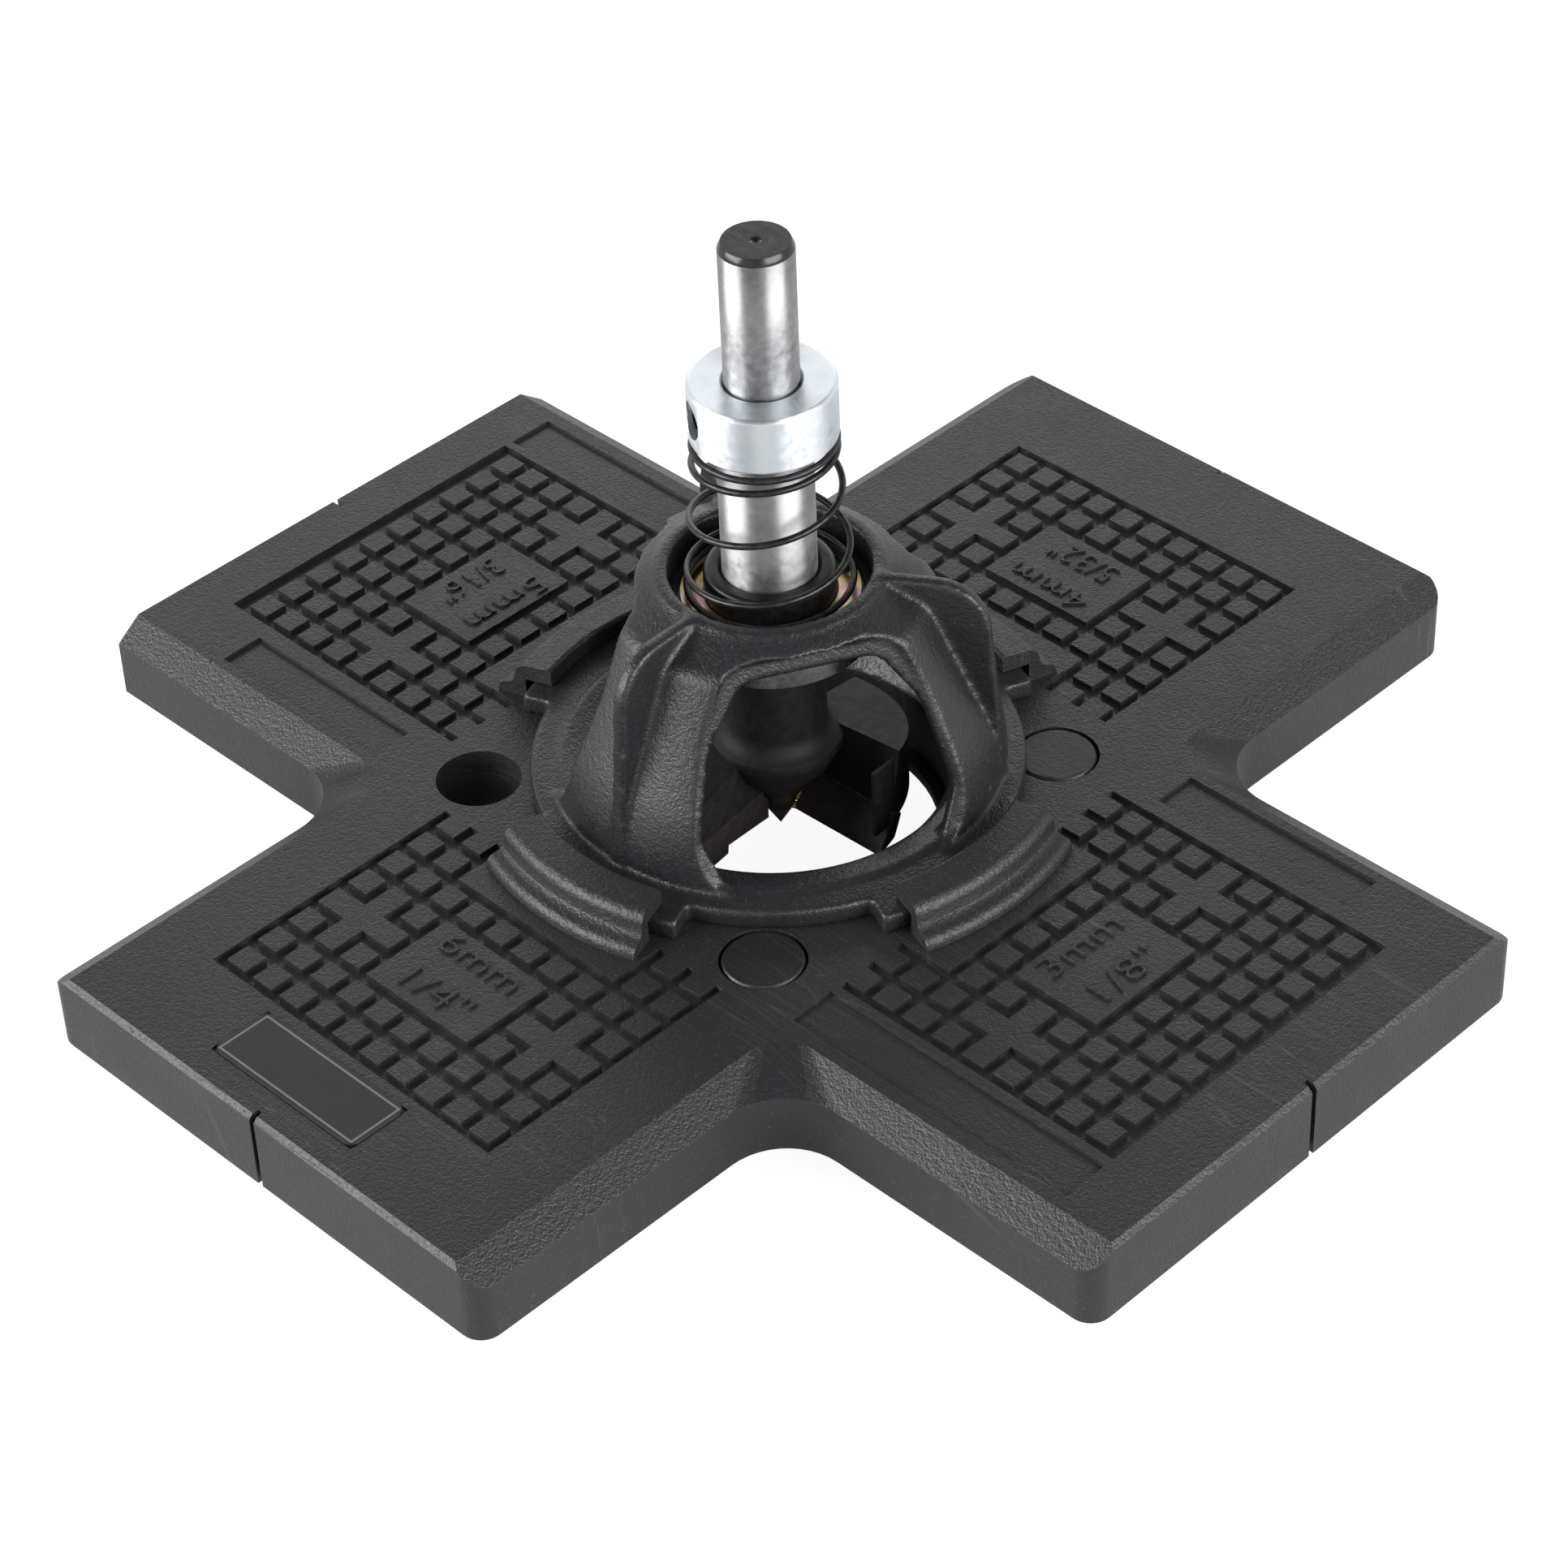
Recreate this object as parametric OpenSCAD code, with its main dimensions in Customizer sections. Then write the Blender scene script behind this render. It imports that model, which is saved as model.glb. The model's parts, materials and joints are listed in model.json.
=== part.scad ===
// Boring jig for 35 mm hinge cups: a cross-shaped base, a windowed housing with a sprung cutter in a
// ball bearing, and pegs that set the cup's distance from the door's edge. Millimetres, +Z up.
// The origin is on the cutter's axis at the underside of the base. The arms towards +X, +Y, -X and -Y
// are for edge distances of 3, 4, 5 and 6 mm.

/* [Base plate] */
// Height of the base plate
base_h = 11.25; // [10:0.25:14]
// Half of an arm's width
arm_half = 39.8; // [38:0.1:46]
// Distance from the cutter's axis to the end of an arm
arm_end = 90.1; // [86:0.1:110]
// Distance from the axis to the end of the arm towards -X, which has no small bevel or corners
plain_end = 88.6; // [85:0.1:110]
// Height of the bevel along the arms
bevel_h = 2.73; // [1:0.01:4]
// Width of the bevel along the arms
bevel_w = 3.95; // [1:0.05:5]
// Radius of the inner corners between two arms
corner_r = 9; // [6:0.5:16]
// Radius of the inner corners at the top edge
corner_top_r = 5.5; // [3:0.5:12]
// Radius of the corners at the arms' ends
end_corner_r = 3; // [1:0.5:5]
// Radius of the opening under the cutter
bore_r = 21; // [19:0.5:22]
// Radius of the seat for the housing's spigot
seat_r = 24.5; // [23.5:0.1:26]
// Height of the seat's floor above the underside
seat_floor = 1.5; // [1:0.5:5]
// Height of the hollows under the arms
hollow_h = 7.6; // [4:0.1:8.4]
// Thickness of the ribs between the hollows
rib = 1.8; // [1.2:0.1:3]
// Width of the sight notches in the arms' ends
notch_w = 0.8; // [0.5:0.1:2]
// Depth of the sight notches
notch_l = 1.6; // [1:0.1:3]

/* [Grip panels] */
// Depth of the panels between the studs
grip_depth = 0.8; // [0.3:0.1:1.5]
// Spacing of the studs
grip_pitch = 5; // [4.5:0.5:7]
// Width of a stud
grip_stud = 3.5; // [2:0.1:4]
// Half of a panel's width
grip_half = 25.5; // [22:0.5:26]
// Depth of the plain frames beside the panels
frame_depth = 0.5; // [0.2:0.1:1]

/* [Edge pegs] */
// Radius of a peg's shank
peg_r = 4.75; // [3:0.05:5.5]
// Radius of a peg's head
peg_head_r = 5.3; // [5:0.1:6.5]
// Height of a peg's head
peg_head_h = 3; // [2:0.5:4]
// How far the pegs stand below the base
peg_drop = 5; // [2:0.5:10]

/* [Housing] */
// Height of the housing above the base
dome_h = 32.95; // [30:0.05:38]
// Radius of the dome at its foot
dome_r = 29.9; // [28.5:0.1:31]
// Wall of the dome
dome_wall = 3; // [2:0.1:4]
// Thickness of the three fins
fin_w = 2; // [1.5:0.1:3]
// Radius of the housing's flange
flange_r = 32.4; // [31.5:0.1:33]
// Thickness of the flange
flange_h = 2.8; // [2:0.1:4]
// Radius of the four locking lugs
lug_r = 36.4; // [35:0.1:37.5]
// Angle that each lug covers
lug_angle = 48; // [42:1:52]
// Angle that each hood over a lug covers
hood_angle = 38; // [30:1:42]
// Wall of the spigot that turns in the base
spigot_wall = 2.05; // [1.5:0.05:2.5]

/* [Bearing] */
// Outer diameter of the ball bearing
bearing_od = 26; // [25:0.5:27]
// Bore of the ball bearing
bearing_id = 17; // [16:0.5:18]
// Width of the ball bearing
bearing_w = 5; // [4.5:0.5:6]
// Depth of the bearing below the housing's rim
bearing_depth = 5; // [4:0.5:7]

/* [Cutter] */
// Cutter diameter
cutter_d = 35; // [32:1:36]
// Height of the centre point above the work, with the cutter up
point_z = 1.7; // [1:0.1:3]
// Radius of the shank in the guide sleeve
stem_r = 6.1; // [5:0.05:6.5]
// Radius of the shank in the drill's chuck
shank_r = 4.75; // [3.5:0.05:5]
// Length of the shank above the stop collar's seat
shank_l = 27.9; // [24:0.1:40]
// Height of the stop collar's seat above the housing
travel = 20.1; // [16:0.1:30]
// Radius of the stop collar
collar_r = 9.4; // [8.5:0.1:12]
// Height of the stop collar
collar_h = 8; // [6:0.5:12]
// Radius of the washer under the spring
washer_r = 11.6; // [11:0.1:12]
// Thickness of the washer
washer_h = 0.8; // [0.5:0.1:1.5]
// Wire diameter of the spring
wire_d = 0.9; // [0.7:0.1:1.5]

/* [Hidden] */
$fn = 96;
fit = 0.05;       // clearance of a running fit
over = 1;         // how far a cut runs past what it cuts
far = arm_end;
cutter_r = cutter_d / 2;

// edge distances in the directions +X, +Y, -X and -Y
edges = [3, 4, 5, 6];
reach = [for (d = edges) cutter_r + d + peg_r];

// heights from the base upwards
flange_z = base_h + flange_h;
rim_z = base_h + dome_h;
bearing_top = rim_z - bearing_depth;
bearing_z = bearing_top - bearing_w;
collar_z = rim_z + travel;
shank_top = collar_z + shank_l;

plastic = [0.16, 0.165, 0.17];
steel = [0.75, 0.76, 0.78];
black = [0.05, 0.05, 0.05];

// points along an arc about [x, z]
function arc(x, z, r, from, to, steps = 8) =
  [for (i = [0:steps]) let(a = from + (to - from) * i / steps) [x + r * cos(a), z + r * sin(a)]];

// the centre of a circle of radius r inside the corner of two lines, each given by the angle of its
// outward normal and by a point on it
function corner_centre(r, a, p, b, q) =
  let(da = p[0] * cos(a) + p[1] * sin(a) - r, db = q[0] * cos(b) + q[1] * sin(b) - r)
  [(da * sin(b) - db * sin(a)) / sin(b - a), (db * cos(a) - da * cos(b)) / sin(b - a)];

module ring(r_in, r_out, z, height) {
  translate([0, 0, z]) difference() {
    cylinder(r = r_out, h = height);
    translate([0, 0, -over]) cylinder(r = r_in, h = height + 2 * over);
  }
}

module around(n) {
  for (k = [0:n - 1]) rotate(360 / n * k) children();
}

// ---------------------------------------------------------------- base plate

module free_corner(r, a) { // plan of the space between two arms
  translate([a + r, a + r]) circle(r);
  translate([a + r, a]) square(far);
  translate([a, a + r]) square(far);
}

module arm_corner() { // what rounds an upright corner at an arm's end
  difference() {
    square(end_corner_r + over);
    circle(end_corner_r);
  }
}

module cross_plan() {
  difference() {
    square(2 * arm_end, center = true);
    around(4) free_corner(corner_r, arm_half);
    for (k = [0, 1, 3], s = [-1, 1])
      rotate(90 * k) scale([1, s])
        translate([arm_end - end_corner_r, arm_half - end_corner_r]) arm_corner();
  }
}

module bevels() {
  slab = 0.2;
  around(4) hull() {
    translate([0, 0, base_h - bevel_h - slab]) linear_extrude(slab) free_corner(corner_r, arm_half);
    translate([0, 0, base_h]) linear_extrude(over) free_corner(corner_top_r, arm_half - bevel_w);
  }
}

module end_edges() { // small bevels on the top edges of three arms' ends, and the fourth end
  translate([-plain_end - 2 * arm_end, -arm_end, -over]) cube([2 * arm_end, 2 * arm_end, base_h + 2 * over]);
  edge = 0.7;
  for (k = [0, 1, 3]) rotate(90 * k)
    translate([arm_end - edge, -arm_half - over, base_h]) rotate([0, 45, 0])
      cube([2 * edge, 2 * (arm_half + over), 2 * edge]);
}

module hollows() { // a grid of hollows under each arm
  wall = 3.5;
  from = 38;
  along = 3;
  across = 4;
  l = (min(arm_end, plain_end) - wall - from + rib) / along;
  w = (2 * (arm_half - wall) + rib) / across;
  around(4) for (i = [0:along - 1], j = [0:across - 1])
    translate([from + l * i, wall - arm_half + w * j, -over]) cube([l - rib, w - rib, hollow_h + over]);
}

module grip_floor(to) { // plan of a grip panel's floor on the arm towards +X, up to x = to
  from = 35.6;
  first = from + 1.2;
  rows = floor((to - first - grip_stud / 2 - 0.8) / grip_pitch);
  columns = floor((grip_half - grip_stud / 2 - grip_pitch / 2) / grip_pitch) + 0.5;
  hub_pad = [8.1, 28.2];
  size_pad = [13.4, 18.4];
  cross_row = first + 4 * grip_pitch;
  cross_l = 2 * grip_pitch + grip_stud;
  difference() {
    translate([from, -grip_half]) square([to - from, 2 * grip_half]);
    for (i = [0:rows], j = [-columns:columns])
      translate([first + grip_pitch * i, grip_pitch * j]) square(grip_stud, center = true);
    translate([from - over, -hub_pad[1] / 2]) square([hub_pad[0] + over, hub_pad[1]]);
    translate([cross_row, 0]) square(size_pad, center = true);
    for (s = [-3.5, 3.5]) translate([cross_row, grip_pitch * s]) {
      square([cross_l, grip_stud], center = true);
      square([grip_stud, cross_l], center = true);
    }
  }
}

module plain_frames() { // plan of the two shallow frames beside the panel of an arm
  beside = grip_half + 1.3;
  translate([35.5, -beside - 7]) square([arm_end - 45.1, 7]);
  translate([41.2, beside + 1.2]) square([arm_end - 59.3, 6.4]);
}

label = [25.9, 9.1];
label_at = arm_end - 9.2;
label_sink = 0.3;

module label_recess() {
  translate([0, -label_at, base_h - label_sink + over / 2])
    cube([label[0] + 2 * fit, label[1] + 2 * fit, over], center = true);
}

module peg_hole(x, y) {
  translate([x, y, -over]) cylinder(r = peg_r + fit, h = base_h + 2 * over);
  translate([x, y, base_h - peg_head_h]) cylinder(r = peg_head_r + 0.35, h = peg_head_h + over);
}

module hood() { // a hook over one lug of the housing, with a round crest, a valley and a round foot
  lip_z = flange_z + 0.1;
  pocket_r = lug_r + 1;
  foot_r = pocket_r + 4.2;
  top = base_h + 5.4;
  rotate(-hood_angle / 2) rotate_extrude(angle = hood_angle) polygon(concat(
    [[pocket_r, base_h - over], [foot_r, base_h - over]],
    arc(foot_r - 1.6, base_h + 0.1, 1.6, 0, 80, 6),
    [[pocket_r + 2.3, base_h + 1.9], [pocket_r + 1.85, base_h + 2.3], [pocket_r + 1.65, base_h + 2.9]],
    arc(pocket_r - 0.4, top - 2.2, 2, 10, 75, 6),
    [[pocket_r - 2.4, top - 0.1]],
    arc(pocket_r - 3.4, top - 0.6, 0.6, 80, 180, 4),
    [[pocket_r - 4, lip_z], [pocket_r, lip_z]]));
}

module base_plate() color(plastic) difference() {
  union() {
    difference() {
      linear_extrude(base_h) cross_plan();
      bevels();
      end_edges();
      hollows();
    }
    around(4) hood();
  }
  translate([0, 0, -over]) cylinder(r = bore_r, h = base_h + 2 * over);
  translate([0, 0, seat_floor]) cylinder(r = seat_r, h = base_h);
  for (x = [reach[0], -reach[2]], y = [reach[1], -reach[3]]) peg_hole(x, y);
  translate([0, 0, base_h - grip_depth]) linear_extrude(grip_depth + over) {
    for (a = [0, 180]) rotate(a) grip_floor(arm_end - 9.5);
    for (a = [90, 270]) rotate(a) grip_floor(arm_end - 15.3);
  }
  translate([0, 0, base_h - frame_depth]) linear_extrude(frame_depth + over)
    for (a = [0, 180]) rotate(a) plain_frames();
  label_recess();
  for (k = [0:3]) rotate(90 * k) translate([(k == 2 ? plain_end : arm_end) - notch_l, -notch_w / 2, -over])
    cube([notch_l + over, notch_w, base_h + 2 * over]);
}

module blank_label() color([0.19, 0.19, 0.2])
  translate([-label[0] / 2, -label_at - label[1] / 2, base_h - label_sink]) cube([label[0], label[1], 0.45]);

// ---------------------------------------------------------------- housing

dome_rim_r = 14.6;
bearing_r = bearing_od / 2;
lip_r = bearing_r - 1.2;   // radius of the opening under the bearing
lip_h = 1;                 // lip that the bearing stands on

// the dome's outline, or its inside with the wall taken off: an upright foot bends into a sloping
// flank, and a tighter bend leads to the rim
flank = 24;
brow = 61;
function dome_outline(wall) =
  let(bend = 26, tight = 3.5, foot = [dome_r, flange_z],
      c = [dome_r - bend, flange_z],
      on_flank = [c[0] + bend * cos(flank), c[1] + bend * sin(flank)],
      s = corner_centre(tight, flank, on_flank, brow, [dome_rim_r + 0.3, rim_z - 0.5]))
  concat(arc(c[0], c[1], bend - wall, 0, flank), arc(s[0], s[1], max(tight - wall, 0.2), flank, brow, 6));

module dome() {
  boss_r = bearing_r + 2.6;
  cavity_top = bearing_z - lip_h;
  difference() {
    rotate_extrude() polygon(concat([[0, base_h], [dome_r, base_h]], dome_outline(0),
      [[dome_rim_r + 0.3, rim_z - 0.5], [dome_rim_r, rim_z], [0, rim_z]]));
    rotate_extrude() polygon(concat([[0, base_h - over], [dome_r - dome_wall, base_h - over]],
      dome_outline(dome_wall), [[boss_r + 1, cavity_top + 2.5], [boss_r, cavity_top], [0, cavity_top]]));
    around(3) rotate(-28) window();
  }
}

module panel(centres, radii) { // a flat outline, alike on both sides, round the given circles
  hull() for (i = [0:len(radii) - 1], x = [-1, 1])
    translate([x * centres[i][0], centres[i][1] * dome_h / 32.95]) circle(radii[i]);
}

module window() { // a flat sloping frame cut into the dome, and the opening through it
  tilt = 18.8;
  depth = 5;
  translate([dome_r - depth, 0, flange_z]) rotate([0, -tilt, 0]) rotate([90, 0, 90]) {
    linear_extrude(20) panel([[13, 4.4], [13.4, 6], [4, 15.5], [8, 24.7]], [4.3, 4.3, 12, 4.5]);
    translate([0, 0, -20]) linear_extrude(30)
      panel([[11.4, 1.5], [12.4, 7.4], [4.8, 15], [7.4, 23.8]], [3, 4.2, 10, 2.8]);
  }
}

module fin() { // an upright plate over the dome, rounded towards the rim
  lean = 5;
  bend = 6.9;
  top = rim_z + 0.2;
  foot = [dome_r + 0.5, flange_z];
  c = corner_centre(bend, lean, foot, 90, [0, top]);
  inner = dome_rim_r - 1;
  rotate([90, 0, 0]) translate([0, 0, -fin_w / 2]) linear_extrude(fin_w)
    polygon(concat([[dome_r - dome_wall, flange_z - over], [foot[0], flange_z - over]],
      arc(c[0], c[1], bend, lean, 90), [[inner, top], [inner, rim_z - 4]]));
}

module flange() { // the ring on the base with its raised sill, and the spigot
  spigot_r = seat_r - fit;
  spigot_in = spigot_r - spigot_wall;
  sill_r = dome_r - 1.6;
  rotate_extrude() polygon([[spigot_in, seat_floor + 0.4], [spigot_r, seat_floor + 0.4], [spigot_r, base_h],
    [flange_r, base_h], [flange_r, flange_z - 0.3], [flange_r - 0.3, flange_z], [sill_r + 0.5, flange_z],
    [sill_r, flange_z + 0.5], [spigot_r - 0.2, flange_z - 0.3], [spigot_in, base_h]]);
}

module lug() {
  rotate(-lug_angle / 2) rotate_extrude(angle = lug_angle)
    polygon([[flange_r - 0.5, base_h], [lug_r, base_h], [lug_r, flange_z - 0.3], [lug_r - 0.3, flange_z],
      [flange_r - 0.5, flange_z]]);
}

module guide_housing() color(plastic) difference() {
  union() {
    dome();
    flange();
    around(4) lug();
    around(3) rotate(32.5) fin();
  }
  translate([0, 0, bearing_z]) cylinder(r = bearing_r, h = dome_h);
  translate([0, 0, bearing_top]) cylinder(r = bearing_r + 0.7, h = 1.05);
  cylinder(r = lip_r, h = rim_z);
}

// ---------------------------------------------------------------- ball bearing

race_r = (bearing_r + bearing_id / 2) / 2 + 0.05;
ball_r = bearing_w * 0.24;
land = 0.95;   // half of the gap between the two rings

module race() {
  rotate_extrude() translate([race_r, bearing_z + bearing_w / 2]) circle(ball_r + fit);
}

module bearing_outer_ring() color(steel) difference() {
  ring(race_r + land, bearing_r - 0.02, bearing_z, bearing_w);
  race();
  for (z = [bearing_z - over, bearing_top - shield_h - fit])
    translate([0, 0, z]) cylinder(r = shield_r + fit, h = shield_h + fit + (z < bearing_z ? over : 1));
}

module bearing_inner_ring() color(steel) difference() {
  ring(bearing_id / 2, race_r - land, bearing_z, bearing_w);
  race();
}

module balls(r) {
  around(14) translate([race_r, 0, bearing_z + bearing_w / 2]) sphere(r);
}

module bearing_cage() color([0.7, 0.55, 0.3]) difference() {
  ring(race_r - 0.4, race_r + 0.4, bearing_z + bearing_w / 2 - 1.2, 2.4);
  balls(ball_r + fit);
}

module bearing_balls() color(steel) balls(ball_r);

shield_r = race_r + land + 0.4;
shield_h = 0.25;
module shield(z) {
  ring(race_r - land + 0.4, shield_r, z, shield_h);
}
module bearing_shield_upper() color(steel) shield(bearing_top - shield_h - 0.02);
module bearing_shield_lower() color(steel) shield(bearing_z + 0.02);

module open_ring(r_in, r_out, z, height, gap, at) {
  difference() {
    ring(r_in, r_out, z, height);
    rotate(at) translate([r_in - over, -gap / 2, z - over]) cube([r_out, gap, height + 2 * over]);
  }
}

module bearing_circlip() color(black)
  open_ring(bearing_r - 1, bearing_r + 0.6, bearing_top, 1, 0.3 * bearing_r, 20);

// ---------------------------------------------------------------- sleeve, washer and spring

sleeve_r = bearing_id / 2;
washer_z = bearing_top + 0.5;
washer_top = washer_z + washer_h;
sleeve_z = bearing_z - 1.8;

module guide_sleeve() color(black) { // a bush with a groove for its circlip and a shoulder on the bearing
  bore = stem_r + fit;
  body = sleeve_r - fit;
  groove = [body - 0.45, bearing_z - 0.8, bearing_z - 0.05];
  shoulder = sleeve_r + 1.2;
  top = rim_z + 0.1;
  rotate_extrude() polygon(concat([[bore, sleeve_z], [body, sleeve_z], [body, groove[1]],
    [groove[0], groove[1]], [groove[0], groove[2]], [body, groove[2]], [body, bearing_top],
    [shoulder, bearing_top], [shoulder, washer_z], [sleeve_r, washer_z]],
    arc(sleeve_r - 0.8, top - 0.8, 0.8, 0, 90, 5), [[bore + 0.5, top], [bore, top - 0.6]]));
}

module sleeve_circlip() color(black)
  open_ring(sleeve_r - 0.45, sleeve_r + 1, bearing_z - 0.78, 0.7, 0.5 * sleeve_r, 0);

module spring_washer() color([0.8, 0.62, 0.3]) ring(sleeve_r + fit, washer_r, washer_z, washer_h);

// The spring's turns lie close together at both ends. It narrows from the washer to the collar.
turns = 5.05;
start_angle = 64;
function smooth(q) = let(s = max(0, min(1, q))) s * s * (3 - 2 * s);
function active(t) = smooth((t - 1) / 3);
function coil_r(t) = washer_r - wire_d / 2 - 0.55 - (washer_r - collar_r - 0.65) * active(t);
function coil_z(t) =
  let(low = washer_top + wire_d / 2 + fit, high = collar_z - wire_d / 2 - fit, close = wire_d + 0.4)
  low + close * t + (high - low - close * turns) * active(t);
module return_spring() color(black) {
  steps = 200;
  sides = 10;
  polyhedron(convexity = 10,
    points = [for (i = [0:steps]) let(t = turns * i / steps, a = start_angle + 360 * t)
      for (j = [0:sides - 1]) let(b = 360 * j / sides, r = coil_r(t) + wire_d / 2 * cos(b))
        [r * cos(a), r * sin(a), coil_z(t) + wire_d / 2 * sin(b)]],
    faces = concat([[for (j = [sides - 1:-1:0]) j]], [[for (j = [0:sides - 1]) steps * sides + j]],
      [for (i = [0:steps - 1], j = [0:sides - 1], half = [0, 1])
        let(k = (j + 1) % sides, a = i * sides, b = a + sides)
          half == 0 ? [a + j, a + k, b + k] : [a + j, b + k, b + j]]));
}

// ---------------------------------------------------------------- depth stop

grub_r = 2.5;
grub_angle = -118;
module at_grub() {
  translate([0, 0, collar_z + collar_h / 2]) rotate([0, 90, grub_angle]) children();
}

module depth_collar() color([0.82, 0.84, 0.86]) difference() {
  edge = 0.4;
  translate([0, 0, collar_z]) rotate_extrude() polygon([[shank_r + fit, edge], [shank_r + fit + edge, 0],
    [collar_r - edge, 0], [collar_r, edge], [collar_r, collar_h - edge], [collar_r - edge, collar_h],
    [shank_r + fit + edge, collar_h], [shank_r + fit, collar_h - edge]]);
  at_grub() cylinder(r = grub_r, h = collar_r + over);
}

module grub_screw() color([0.2, 0.2, 0.2]) at_grub() difference() {
  translate([0, 0, shank_r + fit]) cylinder(r = grub_r - fit, h = 3.9);
  translate([0, 0, shank_r + 1.5]) cylinder(r = grub_r * 0.58, h = 4, $fn = 6);
}

// ---------------------------------------------------------------- bit

head_z = point_z + 6.9;
head_h = 10.2;
head_top = head_z + head_h;
head_r = cutter_r - 0.4;
tip_z = point_z + 3.8;
tip_h = 4.8;
tip_t = 2.4;
tip_lean = 36;
face_lean = 16;
score_z = point_z + 2.5;
score_t = 2.2;
wing_start = 1.7;
wing_angle = 96.3;
core_r = 2.2;

module bit_shank() color(steel) { // the shank is relieved where the collar sits
  root = [shank_r - 0.25, collar_z + collar_h + 0.1];
  rotate_extrude() polygon([[0, sleeve_z], [stem_r, sleeve_z], [stem_r, collar_z], [root[0], collar_z],
    [root[0], root[1]], [shank_r, root[1]], [shank_r, shank_top - 1], [0, shank_top - 1]]);
}

module shank_end() color(black) difference() {
  translate([0, 0, shank_top - 1]) cylinder(r1 = shank_r, r2 = shank_r - 0.45, h = 1);
  translate([0, 0, shank_top - 0.4]) cylinder(r1 = 0, r2 = 0.9, h = 0.45);
}

module slab(r, y0, y1, z0, z1) { // a plate from the centre point's hole out to radius r
  intersection() {
    translate([core_r + 0.3, y0, z0]) cube([r, y1 - y0, z1 - z0]);
    cylinder(r = r, h = head_top);
  }
}

module tip_seat(grow) { // a plate that leans back from its cutting edge
  intersection() {
    translate([core_r + 0.3 - grow, 0, tip_z]) rotate([-tip_lean, 0, 0]) translate([0, -grow, -tip_t])
      cube([cutter_r, tip_t + 2 * grow, tip_h / cos(tip_lean) + tip_t + grow]);
    cylinder(r = cutter_r, h = head_top);
  }
}

module score_seat(grow) {
  rotate(wing_angle) slab(cutter_r - 0.1, -score_t, grow, score_z, head_z + 0.7 + grow);
}

module wing() {
  seam = [tip_h * tan(tip_lean), tip_z + tip_h];
  rise = head_top + over - seam[1];
  difference() {
    intersection() {
      translate([0, 0, head_z]) cylinder(r = head_r, h = head_h);
      rotate_extrude(angle = wing_angle) square([head_r + over, head_top + over]);
    }
    // the chip face, which leans back less above the cutting tip
    translate([-over, 0, 0]) rotate([90, 0, 90]) linear_extrude(cutter_r)
      polygon([[-over, tip_z - over], [0, tip_z], seam, [seam[0] + rise * tan(face_lean), seam[1] + rise],
        [-over, seam[1] + rise]]);
    // the top, which falls away behind the chip face
    translate([0, 0, head_top]) rotate(18) rotate([-12.7, 0, 0]) translate([-cutter_r, 0, 0])
      cube([2 * cutter_r, cutter_r + head_h, head_h]);
  }
}

module cutter_head() color(black) difference() {
  neck_r = stem_r + 0.6;
  web_r = core_r + 1.2;
  foot = [neck_r + 2, head_top - 2.4];
  blend = 3;
  union() {
    around(2) rotate(wing_start) wing();
    translate([0, 0, head_z - 0.2]) cylinder(r = web_r, h = head_h);
    rotate_extrude() polygon(concat([[0, head_z + 1.1], [web_r + 0.5, head_z + 1.1],
      [neck_r + 0.4, head_z + 4.7], foot], arc(neck_r + blend, foot[1] + 1 + blend, blend, 250, 180, 6),
      [[neck_r, sleeve_z], [0, sleeve_z]]));
  }
  around(2) rotate(wing_start) {
    tip_seat(fit);
    score_seat(fit);
  }
  translate([0, 0, head_z - over]) cylinder(r = core_r, h = 2.4);
}

module cutting_tip() color(steel) rotate(wing_start) difference() {
  tip_seat(0);
  translate([0, 0, tip_z]) rotate([12, 0, 0]) translate([0, -2 * tip_t, -8])
    cube([cutter_r + over, 6 * tip_t, 8]);
}

module scoring_tip() color(steel) rotate(wing_start) difference() {
  score_seat(0);
  rotate(wing_angle) translate([core_r, -score_t - over, score_z]) rotate([0, -8, 0]) translate([0, 0, -4])
    cube([9, score_t + 2 * over, 4]);
}

module cutting_tip_a() cutting_tip();
module cutting_tip_b() rotate(180) cutting_tip();
module scoring_tip_a() scoring_tip();
module scoring_tip_b() rotate(180) scoring_tip();

module centre_point() color(steel) {
  cone_h = 3.7;
  translate([0, 0, point_z + cone_h]) cylinder(r = core_r, h = head_z + 1.4 - point_z - cone_h);
  translate([0, 0, point_z]) cylinder(r1 = 0, r2 = core_r, h = cone_h, $fn = 4);
}

// ---------------------------------------------------------------- edge pegs

module peg(x, y) color(plastic) translate([x, y, 0]) {
  edge = 0.3;
  point = 0.6;
  translate([0, 0, base_h - peg_head_h]) cylinder(r = peg_head_r, h = peg_head_h - edge);
  translate([0, 0, base_h - edge]) cylinder(r1 = peg_head_r, r2 = peg_head_r - edge, h = edge);
  translate([0, 0, point - peg_drop]) cylinder(r = peg_r, h = base_h - peg_head_h + peg_drop - point);
  translate([0, 0, -peg_drop]) cylinder(r1 = peg_r - point, r2 = peg_r, h = point);
}
module edge_peg_front() peg(reach[0], -reach[3]);
module edge_peg_right() peg(reach[0], reach[1]);

base_plate();
blank_label();
guide_housing();
bearing_outer_ring();
bearing_inner_ring();
bearing_cage();
bearing_balls();
bearing_shield_upper();
bearing_shield_lower();
bearing_circlip();
guide_sleeve();
sleeve_circlip();
spring_washer();
return_spring();
depth_collar();
grub_screw();
bit_shank();
shank_end();
cutter_head();
cutting_tip_a();
cutting_tip_b();
scoring_tip_a();
scoring_tip_b();
centre_point();
edge_peg_front();
edge_peg_right();
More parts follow.
